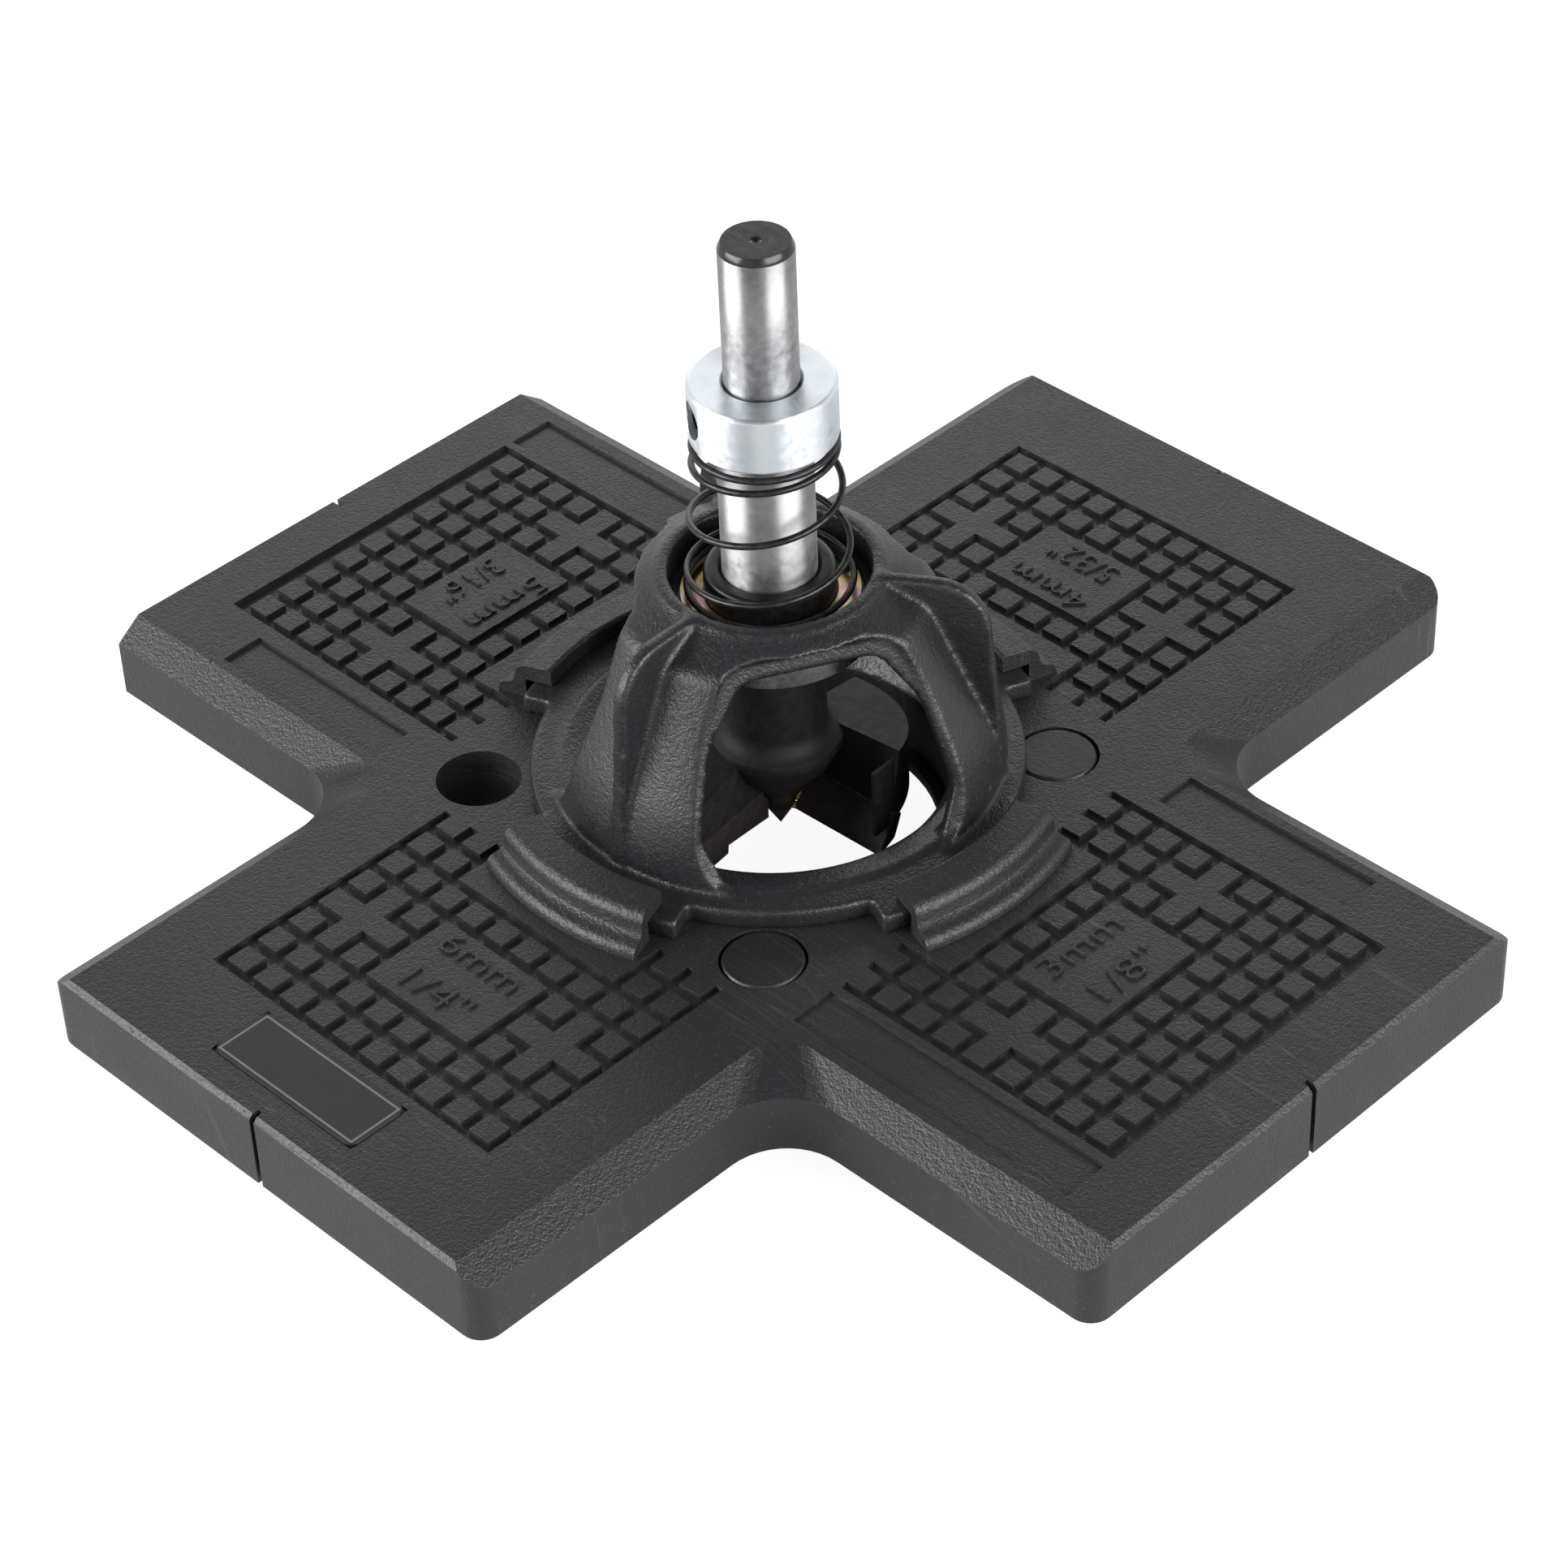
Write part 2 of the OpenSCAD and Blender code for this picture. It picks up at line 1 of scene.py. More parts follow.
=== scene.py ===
import json
import math
import bpy
import numpy as np
from mathutils import Matrix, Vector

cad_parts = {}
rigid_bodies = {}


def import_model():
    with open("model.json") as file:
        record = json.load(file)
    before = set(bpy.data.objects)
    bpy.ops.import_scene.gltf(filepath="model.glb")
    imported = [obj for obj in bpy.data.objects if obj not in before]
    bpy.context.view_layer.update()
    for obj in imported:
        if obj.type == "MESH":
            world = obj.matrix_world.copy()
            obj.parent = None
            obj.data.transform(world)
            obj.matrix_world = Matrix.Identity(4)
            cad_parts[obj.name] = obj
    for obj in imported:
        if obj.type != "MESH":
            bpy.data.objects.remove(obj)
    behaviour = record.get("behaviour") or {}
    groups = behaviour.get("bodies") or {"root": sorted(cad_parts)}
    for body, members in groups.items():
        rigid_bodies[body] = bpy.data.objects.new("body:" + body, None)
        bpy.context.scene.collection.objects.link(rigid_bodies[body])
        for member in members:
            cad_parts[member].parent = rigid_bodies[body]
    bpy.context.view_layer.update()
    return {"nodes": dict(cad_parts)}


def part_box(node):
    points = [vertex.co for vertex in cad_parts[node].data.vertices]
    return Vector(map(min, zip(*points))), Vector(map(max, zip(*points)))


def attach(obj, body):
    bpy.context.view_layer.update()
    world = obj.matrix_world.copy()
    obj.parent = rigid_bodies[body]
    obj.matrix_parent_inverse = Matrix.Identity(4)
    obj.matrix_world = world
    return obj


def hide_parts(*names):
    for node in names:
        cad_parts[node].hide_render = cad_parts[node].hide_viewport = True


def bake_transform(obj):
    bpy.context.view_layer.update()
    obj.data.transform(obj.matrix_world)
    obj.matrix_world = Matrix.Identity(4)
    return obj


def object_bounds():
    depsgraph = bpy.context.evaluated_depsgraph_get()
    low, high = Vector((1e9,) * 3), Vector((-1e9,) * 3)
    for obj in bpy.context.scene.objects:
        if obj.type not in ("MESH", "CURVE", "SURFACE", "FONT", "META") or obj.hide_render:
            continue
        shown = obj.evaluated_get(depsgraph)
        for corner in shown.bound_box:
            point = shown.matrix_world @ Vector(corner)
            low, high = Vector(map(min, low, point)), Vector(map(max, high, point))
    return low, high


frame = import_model()
nodes = frame["nodes"]


# ---- Camera ------------------------------------------------------------------------------------
# A long lens looks down at the jig over the corner between the 3 mm and the 6 mm arms. It is
# turned a little about its own line of sight.
def in_scene(name, data):
    """A new object that holds the data given, put into the scene."""
    made = bpy.data.objects.new(name, data)
    bpy.context.collection.objects.link(made)
    return made


def turned_to(x, y, z, where):
    """The matrix of an object at a place, with its own three axes along the directions given."""
    place = Matrix.Identity(4)
    for row in range(3):
        for column, direction in enumerate((x, y, z, where)):
            place[row][column] = direction[row]
    return place


azimuth = math.radians(46.15)
elevation = math.radians(39.41)
roll = math.radians(-2.44)
distance = 0.5816
aim_right, aim_up = 0.00035, 0.00633

back = np.array([math.sin(azimuth) * math.cos(elevation),
                 -math.cos(azimuth) * math.cos(elevation), math.sin(elevation)])
level = np.array([math.cos(azimuth), math.sin(azimuth), 0.0])
steep = np.cross(back, level)
right = math.cos(roll) * level + math.sin(roll) * steep
up = -math.sin(roll) * level + math.cos(roll) * steep
lens = bpy.data.cameras.new("camera")
lens.lens = 100.8
lens.sensor_width = 36.0
lens.clip_start = 0.01
camera = in_scene("camera", lens)
camera.matrix_world = turned_to(right, up, back, back * distance + right * aim_right + up * aim_up)
bpy.context.scene.camera = camera


# ---- Studio ------------------------------------------------------------------------------------
# A white sheet lies under the jig in a white tent. It keeps a faint soft shadow, and bare metal
# shows the white around it, but not under the jig, where a painted shadow darkens the sheet as
# the metal sees it. Large soft lamps stand in front on both sides, and a low one behind.
def feed(tree, node, values):
    """Sets a node's inputs, by name or place, to numbers or colours, or links them."""
    for key, value in values.items():
        if isinstance(value, bpy.types.NodeSocket):
            tree.links.new(value, node.inputs[key])
        else:
            node.inputs[key].default_value = value


def put(tree, kind, values=None, **settings):
    """A new node of a kind, with its settings and the values or links of its inputs."""
    made = tree.nodes.new(kind)
    for key, value in settings.items():
        setattr(made, key, value)
    feed(tree, made, values or {})
    return made


def maths(tree, operation, *values):
    """The result of one sum on numbers or links."""
    return put(tree, "ShaderNodeMath", dict(enumerate(values)), operation=operation).outputs[0]


def rays(tree, *kinds):
    """1 for the kinds of ray named and 0 for all others."""
    path = put(tree, "ShaderNodeLightPath")
    seen = path.outputs[kinds[0]]
    for kind in kinds[1:]:
        seen = maths(tree, "MAXIMUM", seen, path.outputs[kind])
    return seen


def either(tree, share, first, second):
    """The first of two shaders where the share is 0, and the second where it is 1."""
    return put(tree, "ShaderNodeMixShader",
               {0: share, 1: first.outputs[0], 2: second.outputs[0]})


def new_material(name):
    """A new material, its node tree and its main shader."""
    material = bpy.data.materials.new(name)
    material.use_nodes = True
    return material, material.node_tree, material.node_tree.nodes["Principled BSDF"]


def mesh_piece(name, points, faces, smooth=True):
    """A piece at the origin, made of an array of points and a list of faces."""
    mesh = bpy.data.meshes.new(name)
    mesh.from_pydata(np.asarray(points, float).tolist(), [], faces)
    if smooth:
        mesh.polygons.foreach_set("use_smooth", np.ones(len(mesh.polygons), bool))
    mesh.update()
    return in_scene(name, mesh)


# The tent: plain white to the eye, weaker as a light, and darker towards its top in the metal.
white = (1, 1, 1, 1)
tent_glow = 0.34
wall_white = (0.85, 0.85, 0.85, 1)
roof_from, roof_to, roof_dim = 0.5, 0.76, 0.12

tent = bpy.data.worlds.new("tent")
bpy.context.scene.world = tent
tent.use_nodes = True
air = tent.node_tree
air.nodes.clear()
tent_light = put(air, "ShaderNodeBackground", {"Strength": tent_glow})
tent_white = put(air, "ShaderNodeBackground", {"Color": white, "Strength": 1.0})
upward = put(air, "ShaderNodeSeparateXYZ",
             {0: put(air, "ShaderNodeTexCoord").outputs["Object"]}).outputs[2]
tent_dim = put(air, "ShaderNodeMapRange",
               {0: upward, 1: roof_from, 2: roof_to, 3: 1.0, 4: roof_dim},
               interpolation_type="SMOOTHSTEP")
tent_walls = put(air, "ShaderNodeBackground",
                 {"Color": wall_white, "Strength": tent_dim.outputs[0]})
tent_seen = either(air, rays(air, "Is Glossy Ray"), tent_white, tent_walls)
tent_mix = either(air, rays(air, "Is Camera Ray", "Is Glossy Ray", "Is Transmission Ray"),
                  tent_light, tent_seen)
put(air, "ShaderNodeOutputWorld", {"Surface": tent_mix.outputs[0]})

# The sheet: nearly white to the eye with a faint shadow, in the metal a painted shadow under the
# jig.
sheet_half = 3.0
sheet_drop = 0.0002
sheet_glow = 0.93
sheet_grey = (0.8, 0.8, 0.8, 1)
shadow_grey = (0.22, 0.22, 0.22, 1)
dark_to, pale_from, dark_glow, pale_glow = 0.04, 0.085, 0.06, 0.9

floor_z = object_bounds()[0][2] - sheet_drop
floor = mesh_piece("floor", [(x * sheet_half, y * sheet_half, floor_z)
                             for x, y in ((-1, -1), (1, -1), (1, 1), (-1, 1))], [(0, 1, 2, 3)])
paper, sheet, _ = new_material("white_paper")
sheet.nodes.clear()
sheet_body = put(sheet, "ShaderNodeBsdfDiffuse", {"Color": sheet_grey})
sheet_shadow = put(sheet, "ShaderNodeBsdfDiffuse", {"Color": shadow_grey})
sheet_white = put(sheet, "ShaderNodeEmission", {"Color": white, "Strength": sheet_glow})
sheet_plain = put(sheet, "ShaderNodeAddShader",
                  {0: sheet_shadow.outputs[0], 1: sheet_white.outputs[0]})
# Painted shadow: distance from the middle dims the sheet as glossy rays see it, darkest under the
# jig.
from_middle = put(sheet, "ShaderNodeVectorMath",
                  {0: put(sheet, "ShaderNodeTexCoord").outputs["Object"]}, operation="LENGTH")
sheet_shade = put(sheet, "ShaderNodeMapRange", {0: from_middle.outputs["Value"], 1: dark_to,
                                                2: pale_from, 3: dark_glow, 4: pale_glow})
painted_sheet_shadow = put(sheet, "ShaderNodeEmission", {"Strength": sheet_shade.outputs[0]})
sheet_seen = either(sheet, rays(sheet, "Is Glossy Ray"), sheet_plain, painted_sheet_shadow)
sheet_mix = either(sheet, rays(sheet, "Is Camera Ray", "Is Glossy Ray", "Is Transmission Ray"),
                   sheet_body, sheet_seen)
put(sheet, "ShaderNodeOutputMaterial", {"Surface": sheet_mix.outputs[0]})
floor.data.materials.append(paper)


def lamp(name, where, aim_height, width, height, power):
    """A rectangular lamp at a place, turned towards a point on the jig's axis."""
    light = bpy.data.lights.new(name, "AREA")
    light.shape = "RECTANGLE"
    light.size, light.size_y, light.energy = width, height, power
    z = np.array(where, float) - np.array([0, 0, aim_height], float)
    z /= np.linalg.norm(z)
    x = np.cross([0, 0, 1], z)
    x /= np.linalg.norm(x)
    in_scene(name, light).matrix_world = turned_to(x, np.cross(z, x), z, where)


lamp("lamp_left", (-0.46, -0.82, 0.4), aim_height=0.04, width=0.9, height=0.5, power=15.0)
lamp("lamp_right", (0.92, 0.12, 0.4), aim_height=0.04, width=0.9, height=0.5, power=13.0)
lamp("lamp_behind", (-0.85, 0.82, 0.5), aim_height=0.02, width=1.1, height=0.2, power=2.4)
bpy.context.scene.view_settings.view_transform = "Standard"


# ---- Base plate --------------------------------------------------------------------------------
# One moulding in charcoal glass-filled nylon, with a spark-eroded grain: studded grip panels, plain
# frames, bevels and four hoods. Its edges are rounded a little, and its flats carry fine scratches.
def new_group(name, inputs, outputs):
    """A shader node group with named float or vector inputs and outputs, and its two end nodes."""
    group = bpy.data.node_groups.new(name, "ShaderNodeTree")
    for socket, kind, value in inputs:
        made = group.interface.new_socket(socket, in_out="INPUT", socket_type="NodeSocket" + kind)
        if kind == "Float":
            made.default_value = value
    for socket in outputs:
        group.interface.new_socket(socket, in_out="OUTPUT", socket_type="NodeSocketFloat")
    return group, put(group, "NodeGroupInput").outputs, put(group, "NodeGroupOutput")


def spread(tree, value, low, high, to_low=0.0, to_high=1.0):
    """A value between low and high, carried over to another span and held inside it."""
    return put(tree, "ShaderNodeMapRange",
               {0: value, 1: low, 2: high, 3: to_low, 4: to_high}).outputs[0]


def noise(tree, where, scale, detail=2.0, rough=0.5):
    """Cloudy noise from 0 to 1 at a place, with so many clouds to the metre."""
    return put(tree, "ShaderNodeTexNoise", {"Vector": where, "Scale": scale, "Detail": detail,
                                            "Roughness": rough}).outputs["Fac"]


def between(tree, share, dark, light, **settings):
    """A colour between two, each a link or three numbers, by a share from 0 to 1."""
    dark, light = (tone if isinstance(tone, bpy.types.NodeSocket) else (*tone, 1)
                   for tone in (dark, light))
    return put(tree, "ShaderNodeMix", {0: share, 6: dark, 7: light}, data_type="RGBA",
               **settings).outputs[2]


def dented(tree, height, strength, depth):
    """The normal of a surface that a height dents, down to a depth."""
    return put(tree, "ShaderNodeBump",
               {"Strength": strength, "Distance": depth, "Height": height}).outputs[0]


# Moulded grain: pebbles and finer dust between them give the height, sparse light specks are
# painted glints, and wide clouds change the tone from place to place.
grain, grain_in, grain_out = new_group(
    "moulded_grain",
    [("Vector", "Vector", 0), ("Fineness", "Float", 2600.0), ("Glints", "Float", 0.3)],
    ["Height", "Tone", "Glint"])
pebble = put(grain, "ShaderNodeTexVoronoi",
             {"Vector": grain_in["Vector"], "Scale": grain_in["Fineness"]}, feature="SMOOTH_F1")
dust_scale = maths(grain, "MULTIPLY", grain_in["Fineness"], 0.45)
glint_scale = maths(grain, "MULTIPLY", grain_in["Fineness"], 0.75)
dust = noise(grain, grain_in["Vector"], dust_scale, 3.0, 0.6)
glint_noise = noise(grain, grain_in["Vector"], glint_scale, 1.0)
glint_from = maths(grain, "SUBTRACT", 0.78, maths(grain, "MULTIPLY", grain_in["Glints"], 0.35))
feed(grain, grain_out, {
    "Height": maths(grain, "ADD", maths(grain, "MULTIPLY", pebble.outputs["Distance"], 0.55), dust),
    "Tone": noise(grain, grain_in["Vector"], 45.0, 4.0, 0.6),
    "Glint": spread(grain, glint_noise, glint_from, maths(grain, "ADD", glint_from, 0.08))})

# Use: long fine scratches in three directions, kept to some places by wide clouds, and smudges.
use, use_in, use_out = new_group(
    "marks_of_use", [("Vector", "Vector", 0), ("Amount", "Float", 0.5)], ["Scratch", "Smudge"])
lines = 0.0
for turn, reach in ((0.5, 1.0), (-0.9, 1.4), (1.9, 0.8)):
    laid = put(use, "ShaderNodeMapping", {"Vector": use_in["Vector"], "Rotation": (0.0, 0.0, turn),
                                          "Scale": (14.0 * reach, 420.0, 14.0)})
    fibre = maths(use, "ABSOLUTE",
                  maths(use, "SUBTRACT", noise(use, laid.outputs[0], 1.0, 1.0), 0.5))
    lines = maths(use, "MAXIMUM", lines, spread(use, fibre, 0.0, 0.006, 1.0, 0.0))
where_used = spread(use, noise(use, use_in["Vector"], 38.0, 2.0), 0.54, 0.66)
feed(use, use_out, {
    "Scratch": maths(use, "MULTIPLY", maths(use, "MULTIPLY", lines, where_used), use_in["Amount"]),
    "Smudge": spread(use, noise(use, use_in["Vector"], 90.0, 5.0, 0.65), 0.35, 0.75)})


def moulded(name, dark, light, roughness, fineness, glints, bump, scratches, crest=0.0):
    """Moulded plastic: its two tones, how rough it is, its grain, painted glints and scratches, and
    how much paler its ridges are, partly worn by rubbing and partly a painted highlight, where the
    mesh is dense enough to show them."""
    material, tree, shader = new_material(name)
    where = put(tree, "ShaderNodeTexCoord").outputs["Object"]
    skin = put(tree, "ShaderNodeGroup", {"Vector": where, "Fineness": fineness, "Glints": glints},
               node_tree=grain).outputs
    worn = put(tree, "ShaderNodeGroup", {"Vector": where, "Amount": scratches},
               node_tree=use).outputs
    # Painted glints: sparse light specks mixed into the colour, with the scratches.
    pale = maths(tree, "MAXIMUM", maths(tree, "MULTIPLY", skin["Glint"], 0.55), worn["Scratch"])
    if crest:
        # Paler ridges: partly worn by rubbing and partly a painted highlight where ridges catch the
        # light.
        ridge = spread(tree, put(tree, "ShaderNodeNewGeometry").outputs["Pointiness"], 0.53, 0.62)
        worn_and_highlit = maths(tree, "MULTIPLY", ridge, spread(tree, skin["Height"], 0.35, 0.9))
        pale = maths(tree, "MAXIMUM", pale, maths(tree, "MULTIPLY", worn_and_highlit, crest))
    tone = between(tree, skin["Tone"], dark, light)
    gloss = spread(tree, skin["Height"], 0.3, 0.95, roughness - 0.1, roughness + 0.12)
    relief = maths(tree, "SUBTRACT", skin["Height"],
                   maths(tree, "MULTIPLY", worn["Scratch"], 0.6))
    feed(tree, shader, {
        "Specular IOR Level": 0.48,
        "Base Color": between(tree, pale, tone, [5 * part for part in light]),
        "Roughness": maths(tree, "SUBTRACT", gloss, maths(tree, "MULTIPLY", worn["Smudge"], 0.07)),
        "Normal": dented(tree, relief, bump, 0.0001)})
    return material


def wear(node, material):
    """Gives a CAD node its material."""
    nodes[node].data.materials.clear()
    nodes[node].data.materials.append(material)


weld_gap = 2e-6


def round_off(node, width, angle=28.0, flats=None):
    """Smooth round faces on a CAD node, and small rounded edges where its faces meet at more than
    an angle. Where flats is given, faces that meet at less than that are joined first."""
    made = nodes[node]
    made.data.polygons.foreach_set("use_smooth", np.ones(len(made.data.polygons), bool))
    made.modifiers.new("one_skin", "WELD").merge_threshold = weld_gap
    if flats:
        whole = made.modifiers.new("whole_flats", "DECIMATE")
        whole.decimate_type, whole.angle_limit = "DISSOLVE", math.radians(flats)
    if width:
        edge = made.modifiers.new("soft_edges", "BEVEL")
        edge.width, edge.segments = width, 2
        edge.limit_method, edge.angle_limit = "ANGLE", math.radians(angle)
        made.modifiers.new("even_shine", "WEIGHTED_NORMAL").keep_sharp = True


charcoal = moulded("charcoal_grain", (0.0105, 0.011, 0.012), (0.0175, 0.018, 0.0195),
                   roughness=0.42, fineness=3700.0, glints=0.25, bump=1.0, scratches=0.3)
wear("base_plate", charcoal)
round_off("base_plate", 0.0003, angle=25.0, flats=0.5)

# Raised size marks on the flush pads, one pair to each arm, which read from the jig's outside. A
# row has its distance from the middle, the height of its capitals and its width.
mark_rows = ((0.0526, 0.0035, 0.0131), (0.0600, 0.00392, 0.0104))
mark_height = 0.0003
mark_thinner = -0.018
base_top = 0.01125
marks = {0: ("3mm", '1/8"'), 90: ("4mm", '5/32"'), 180: ("5mm", '3/16"'), 270: ("6mm", '1/4"')}


def words(text, capital, width, deep):
    """Plain lettering made a mesh: its points and its faces. Each axis is moved so that the text's
    middle is at zero, and stretched to the width, the capital's height and the depth given."""
    curve = bpy.data.curves.new("lettering", "FONT")
    curve.body, curve.size, curve.extrude, curve.offset = text, 1.0, 0.5, mark_thinner
    curve.resolution_u = 4
    shown = in_scene("lettering", curve)
    seen = shown.evaluated_get(bpy.context.evaluated_depsgraph_get())
    mesh = bpy.data.meshes.new_from_object(seen)
    points = np.empty(len(mesh.vertices) * 3)
    mesh.vertices.foreach_get("co", points)
    points = points.reshape(-1, 3)
    faces = [list(face.vertices) for face in mesh.polygons]
    for store, made in ((bpy.data.objects, shown), (bpy.data.curves, curve),
                        (bpy.data.meshes, mesh)):
        store.remove(made)
    low, high = points.min(0), points.max(0)
    points[:, :2] -= ((low + high) / 2)[:2]
    return points / (high - low) * (width, capital, deep), faces


for turn, texts in marks.items():
    out = np.array([math.cos(math.radians(turn)), math.sin(math.radians(turn))])
    along = np.array([-out[1], out[0]])
    points, faces = np.empty((0, 3)), []
    for text, (reach, capital, width) in zip(texts, mark_rows):
        letters, sides = words(text, capital, width, 2 * mark_height)
        faces += [[corner + len(points) for corner in side] for side in sides]
        flat = reach * out + letters[:, :1] * along - letters[:, 1:2] * out
        points = np.vstack([points, np.column_stack([flat, letters[:, 2] + base_top])])
    raised = mesh_piece("size_mark_" + texts[0], points, faces, smooth=False)
    raised.data.materials.append(charcoal)
    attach(raised, "base")

# ---- Blank label -------------------------------------------------------------------------------
# A bare black film, stuck in a recess near the end of the 6 mm arm. Its corners are rounded, and a
# thin bright line runs inside its edge.
label_gap = 0.00005
label_corner = 0.0015
label_low, label_high = (np.array(c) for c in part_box("blank_label"))
label_mid = (label_low + label_high) / 2
label_half = (label_high - label_low) / 2 - label_gap
# How far inside the outline and below the top each ring of the film's rounded edge lies
film_edge = ((0.0, 0.00008), (0.00003, 0.00002), (0.0001, 0.0))
line_inset, line_half, line_soft = 0.0007, 0.00008, 0.0002


def rounded_plate(middle, half, corner, rings):
    """A plate with rounded corners: each ring is the outline moved in by its inset and put at its
    height, and the first and last are filled. The outline is a circle whose quarters are moved
    out to the corners of a square."""
    angle = np.radians(np.arange(0, 360, 7.5) + 3.75)
    circle = np.column_stack([np.cos(angle), np.sin(angle)])
    centre = np.sign(circle) * (half[:2] - corner)
    points = np.vstack([np.column_stack([middle[:2] + centre + circle * (corner - inset),
                                         np.full(len(angle), height)]) for inset, height in rings])
    n, count = len(angle), len(rings)
    i, j = np.meshgrid(np.arange(n), np.arange(count - 1))
    a, b = (i + j * n).ravel(), ((i + 1) % n + j * n).ravel()
    faces = np.column_stack([a, b, b + n, a + n]).tolist()
    return points, faces + [list(range(n - 1, -1, -1)), list(range((count - 1) * n, count * n))]


film_rings = [(0.0, label_low[2])] + [(inset, label_high[2] - drop) for inset, drop in film_edge]
film = mesh_piece("label_film", *rounded_plate(label_mid, label_half, label_corner, film_rings),
                  smooth=False)
film_look, film_tree, film_shader = new_material("label_film")
film_where = put(film_tree, "ShaderNodeMapping",
                 {"Vector": put(film_tree, "ShaderNodeTexCoord").outputs["Object"],
                  "Location": tuple(-label_mid)}).outputs[0]
film_axes = put(film_tree, "ShaderNodeSeparateXYZ", {0: film_where}).outputs
beyond = [maths(film_tree, "SUBTRACT", maths(film_tree, "ABSOLUTE", film_axes[axis]),
                float(label_half[axis])) for axis in (0, 1)]
line_near = maths(film_tree, "ABSOLUTE", maths(film_tree, "ADD", line_inset,
                                               maths(film_tree, "MAXIMUM", *beyond)))
film_line = spread(film_tree, line_near, line_half, line_soft, 1.0, 0.0)
film_cloud = noise(film_tree, film_where, 260.0, 4.0, 0.6)
film_tone = between(film_tree, film_cloud, (0.009, 0.0095, 0.0105), (0.014, 0.0145, 0.016))
feed(film_tree, film_shader, {
    "Base Color": between(film_tree, film_line, film_tone, (0.14, 0.145, 0.15)),
    "Roughness": spread(film_tree, film_cloud, 0.2, 0.8, 0.4, 0.5),
    "Normal": dented(film_tree, noise(film_tree, film_where, 2600.0, 2.0), 0.2, 0.00005)})
film.data.materials.append(film_look)
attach(film, "base")
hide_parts("blank_label")

# ---- Edge pegs ---------------------------------------------------------------------------------
# Two turned nylon pegs, smoother than the plate. They are pressed into two of its four stepped
# holes and can be moved to the others.
nylon = moulded("peg_nylon", (0.0095, 0.01, 0.011), (0.015, 0.0155, 0.0165),
                roughness=0.36, fineness=3200.0, glints=0.1, bump=0.3, scratches=0.6)
for peg in ("edge_peg_front", "edge_peg_right"):
    wear(peg, nylon)
    round_off(peg, 0.00012)

# ---- Guide housing -----------------------------------------------------------------------------
# A thick moulded dome with three framed windows and three fins, and four lugs that lock under the
# plate's hoods. Each edge flows into the next, so the skin is remade in small squares and smoothed.
skin_grid = 0.00045
# Its ridges are paler, partly worn by rubbing and partly a painted highlight.
grained = moulded("housing_grain", (0.009, 0.0095, 0.0105), (0.0155, 0.016, 0.0175),
                  roughness=0.38, fineness=3300.0, glints=0.25, bump=1.0, scratches=0.15, crest=0.5)
wear("guide_housing", grained)
dome = nodes["guide_housing"]
dome.modifiers.new("one_skin", "WELD").merge_threshold = weld_gap
skin = dome.modifiers.new("flowing_skin", "REMESH")
skin.mode, skin.voxel_size, skin.use_smooth_shade = "VOXEL", skin_grid, True
flow = dome.modifiers.new("flow", "SMOOTH")
flow.factor, flow.iterations = 0.5, 4

# ---- Ball bearing ------------------------------------------------------------------------------
# Two ground rings, a brass cage with steel balls and two pressed shields, mostly out of sight. The
# outer circlip holds it in the housing.

# Turned metal: rings left by the tool, soft lengthwise bands of painted reflection, and a faint
# mottle.
turned, turned_in, turned_out = new_group(
    "turned_metal", [("Vector", "Vector", 0), ("Bands", "Float", 6.0), ("Phase", "Float", 0.0),
                     ("Rings", "Float", 9000.0)], ["Band", "Mottle", "Height"])
axes = put(turned, "ShaderNodeSeparateXYZ", {0: turned_in["Vector"]}).outputs
round_angle = maths(turned, "ARCTAN2", axes[1], axes[0])
from_phase = maths(turned, "SUBTRACT", round_angle, turned_in["Phase"])
wander = maths(turned, "MULTIPLY", noise(turned, turned_in["Vector"], 55.0, 1.0), 1.2)
swing = maths(turned, "ADD", maths(turned, "MULTIPLY", from_phase, turned_in["Bands"]), wander)
tool_lines = put(turned, "ShaderNodeCombineXYZ",
                 {2: maths(turned, "MULTIPLY", axes[2], turned_in["Rings"])}).outputs[0]
# Band: painted reflection bands round the axis, wandering a little.
feed(turned, turned_out, {
    "Band": maths(turned, "MULTIPLY_ADD", maths(turned, "COSINE", swing), 0.5, 0.5),
    "Mottle": noise(turned, turned_in["Vector"], 900.0, 4.0, 0.65),
    "Height": noise(turned, tool_lines, 1.0, 2.0)})


def metal(name, dark, light, roughness, metallic=1.0, bands=0.0, phase=0.0, mottle=0.3, bump=0.15,
          anisotropic=0.0):
    """Bare or plated metal: two tones mixed by lengthwise bands of painted reflection and by
    mottle, and tool lines as its bump. Where it is anisotropic, its sheen is drawn out along the
    shank."""
    material, tree, shader = new_material(name)
    if anisotropic:
        feed(tree, shader, {"Anisotropic": anisotropic,
                            "Tangent": put(tree, "ShaderNodeCombineXYZ", {2: 1.0}).outputs[0]})
    where = put(tree, "ShaderNodeTexCoord").outputs["Object"]
    skin = put(tree, "ShaderNodeGroup",
               {"Vector": where, "Bands": 6.0, "Phase": phase, "Rings": 9000.0},
               node_tree=turned).outputs
    worn = put(tree, "ShaderNodeGroup", {"Vector": where, "Amount": 0.35}, node_tree=use).outputs
    # Painted reflection: the lengthwise bands, set round the axis by the phase, lighten the colour.
    shade = maths(tree, "ADD", maths(tree, "MULTIPLY", skin["Band"], bands),
                  maths(tree, "MULTIPLY", spread(tree, skin["Mottle"], 0.3, 0.7), mottle))
    rough = spread(tree, skin["Mottle"], 0.3, 0.7, roughness - 0.05, roughness + 0.06)
    relief = maths(tree, "SUBTRACT", skin["Height"], worn["Scratch"])
    feed(tree, shader, {
        "Metallic": metallic,
        "Base Color": between(tree, shade, dark, light, clamp_factor=True),
        "Roughness": maths(tree, "ADD", rough, maths(tree, "MULTIPLY", worn["Smudge"], 0.05)),
        "Normal": dented(tree, relief, bump, 0.00003)})
    return material


